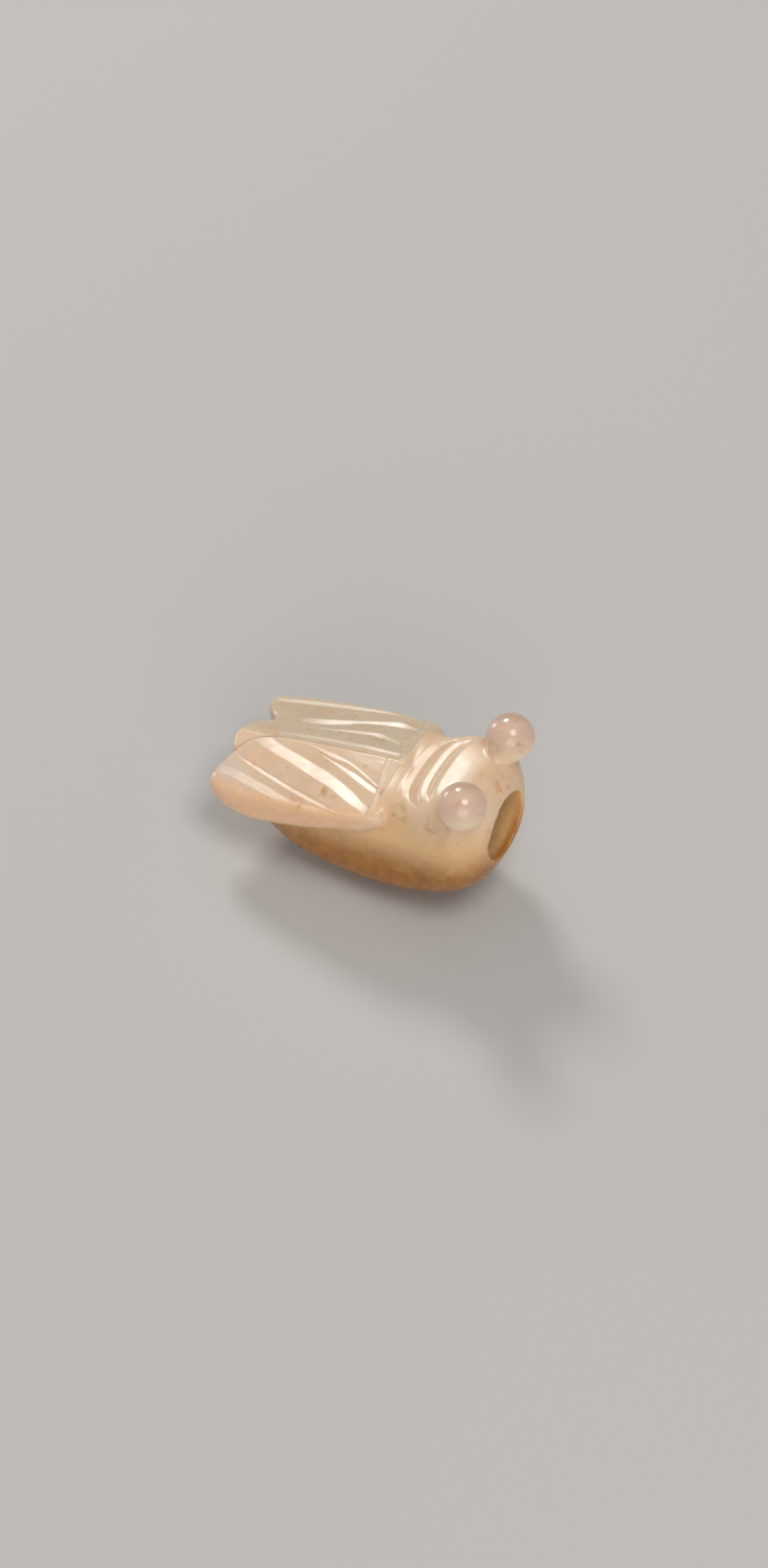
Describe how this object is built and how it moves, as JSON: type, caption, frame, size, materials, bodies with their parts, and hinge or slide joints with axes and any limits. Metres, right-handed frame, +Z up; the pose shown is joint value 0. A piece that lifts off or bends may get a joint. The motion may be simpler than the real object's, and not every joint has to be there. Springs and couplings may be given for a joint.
{
  "type": "carved jade cicada",
  "caption": "Small polished jade carving of a cicada lying on its belly, with ball eyes, fluted folded wings, neck folds and a round bore at the mouth.",
  "frame": {"origin": "on the small flat spot under the belly, in the middle of the outline seen from above", "axes": "+X towards the head and its mouth, +Z up from the belly to the back, +Y to the animal's left"},
  "size_m": [0.038, 0.0198, 0.0253],
  "materials": {
    "jade": "polished translucent jade, cream wings, milky eyes and an amber brown belly"
  },
  "bodies": {
    "root": {"cicada": "jade"}
  },
  "joints": []
}
